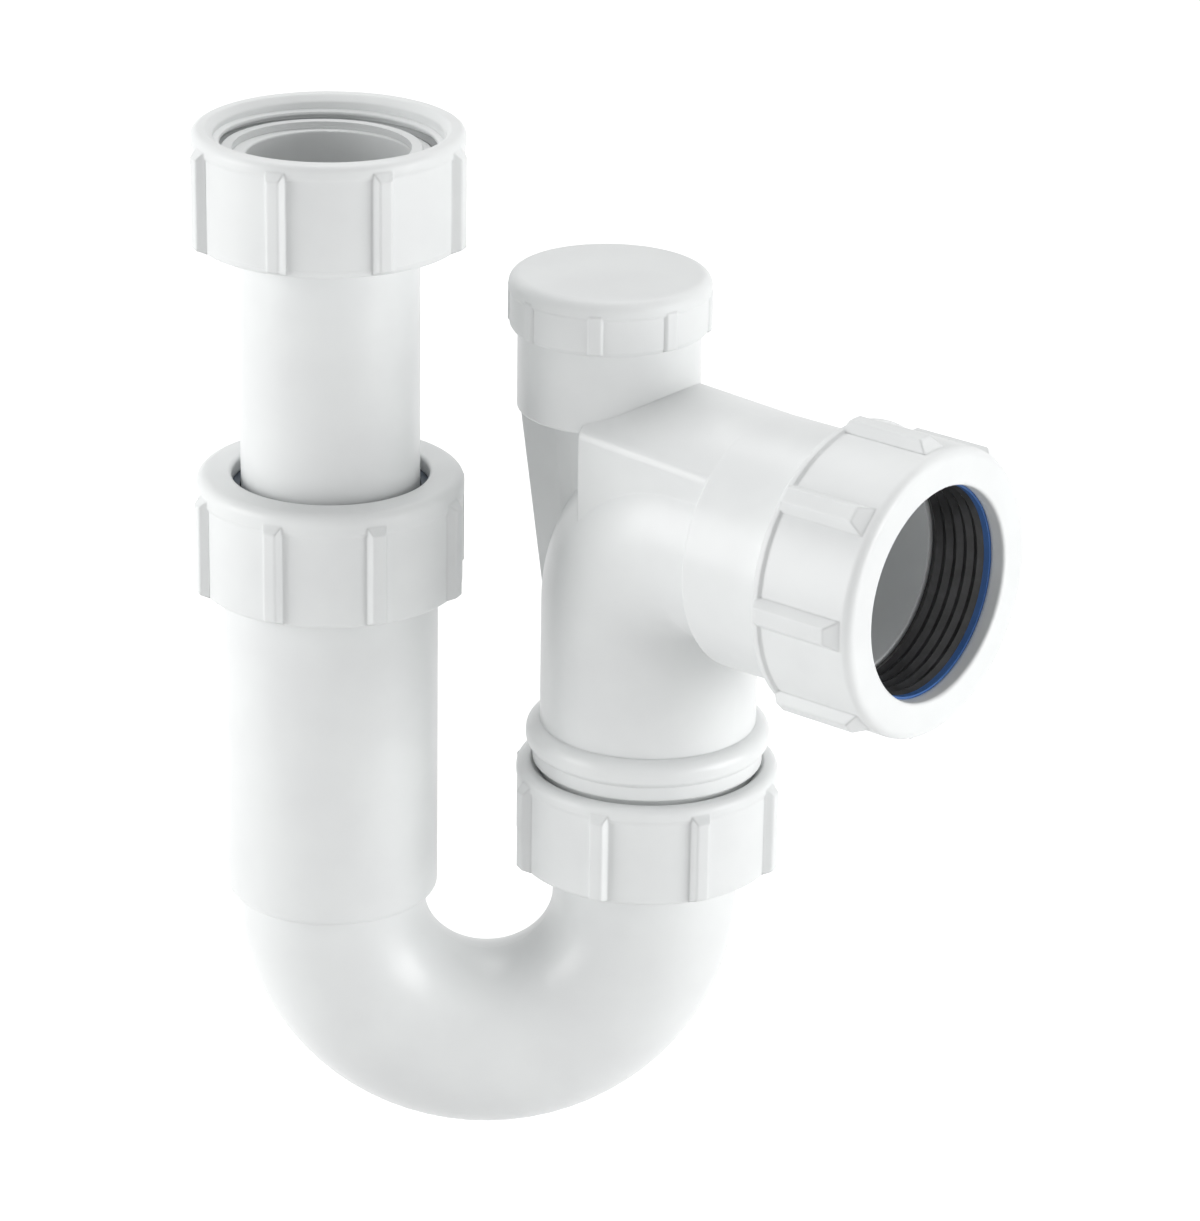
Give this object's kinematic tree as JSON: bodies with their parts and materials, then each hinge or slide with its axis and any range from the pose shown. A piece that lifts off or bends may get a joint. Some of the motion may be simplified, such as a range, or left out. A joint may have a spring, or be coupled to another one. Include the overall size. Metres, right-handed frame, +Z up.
{
  "type": "tubular trap",
  "caption": "Tubular swivel trap: telescopic inlet leg, U-bend, swivelling elbow with a compression outlet, and an air valve under a screw cap.",
  "frame": {"origin": "on the inlet leg's axis, at the height of the inlet washer's upper face, where the tail of the basin waste lands", "axes": "+Z up along the inlet leg, towards the basin waste; +X across the U-bend, from the inlet leg to the swivel leg; +Y behind"},
  "size_m": [0.1729, 0.103, 0.2284],
  "materials": {
    "white_plastic": "moulded white polypropylene, slightly glossy",
    "pale_washer": "soft white polyethylene washer",
    "black_rubber": "black moulded rubber",
    "blue_plastic": "smooth blue plastic slip ring"
  },
  "bodies": {
    "inlet_nut": {"inlet_nut": "white_plastic"},
    "inlet_washer": {"inlet_washer": "pale_washer"},
    "inlet_tube": {"inlet_tube": "white_plastic"},
    "bend": {"u_bend": "white_plastic", "inlet_socket": "white_plastic", "slide_seal": "black_rubber", "swivel_washer": "black_rubber"},
    "slide_ring": {"slide_friction_ring": "blue_plastic"},
    "slide_nut": {"slide_nut": "white_plastic"},
    "swivel_nut": {"swivel_nut": "white_plastic"},
    "elbow": {"outlet_elbow": "white_plastic", "outlet_seal": "black_rubber", "valve_seat": "white_plastic", "valve_seat_seal": "black_rubber"},
    "outlet_ring": {"outlet_friction_ring": "blue_plastic"},
    "outlet_nut": {"outlet_nut": "white_plastic"},
    "valve_cap": {"valve_cap": "white_plastic"},
    "valve": {"valve_plunger": "white_plastic", "valve_membrane": "black_rubber"}
  },
  "joints": [
    {"name": "washer_slide", "type": "slide", "parent": "inlet_nut", "child": "inlet_washer", "axis": [0, 0, 1], "range_m": [-0.01, 0]},
    {"name": "tube_turn", "type": "hinge", "parent": "inlet_washer", "child": "inlet_tube", "pos_m": [0, 0, -0.0015], "axis": [0, 0, 1], "continuous": true},
    {"name": "height_slide", "type": "slide", "parent": "inlet_tube", "child": "bend", "axis": [0, 0, 1], "range_m": [-0.02, 0.03]},
    {"name": "slide_ring_lift", "type": "slide", "parent": "bend", "child": "slide_ring", "axis": [0, 0, 1], "range_m": [0, 0.00601]},
    {"name": "slide_nut_turn", "type": "hinge", "parent": "slide_ring", "child": "slide_nut", "pos_m": [0, 0, -0.071], "axis": [0, 0, 1], "range_deg": [0, 720]},
    {"name": "swivel_nut_turn", "type": "hinge", "parent": "bend", "child": "swivel_nut", "pos_m": [0.0685, 0, -0.1575], "axis": [0, 0, -1], "range_deg": [0, 360]},
    {"name": "outlet_swivel", "type": "hinge", "parent": "bend", "child": "elbow", "pos_m": [0.0685, 0, -0.1515], "axis": [0, 0, 1], "range_deg": [-72, 155]},
    {"name": "outlet_ring_slide", "type": "slide", "parent": "elbow", "child": "outlet_ring", "axis": [0.7385, -0.6743, 0], "range_m": [0, 0.00601]},
    {"name": "outlet_nut_turn", "type": "hinge", "parent": "outlet_ring", "child": "outlet_nut", "pos_m": [0.12425, -0.05091, -0.0799], "axis": [0.7385, -0.6743, 0], "range_deg": [0, 720]},
    {"name": "cap_turn", "type": "hinge", "parent": "elbow", "child": "valve_cap", "pos_m": [0.05927, 0.00843, -0.035], "axis": [0, 0, 1], "range_deg": [0, 360]},
    {"name": "valve_lift", "type": "slide", "parent": "elbow", "child": "valve", "axis": [0, 0, 1], "range_m": [0, 0.002]}
  ],
  "couplings": [
    {"joint": "slide_ring_lift", "follows": "slide_nut_turn", "m_per_rad": 0.00047746},
    {"joint": "outlet_ring_slide", "follows": "outlet_nut_turn", "m_per_rad": 0.00047746}
  ]
}
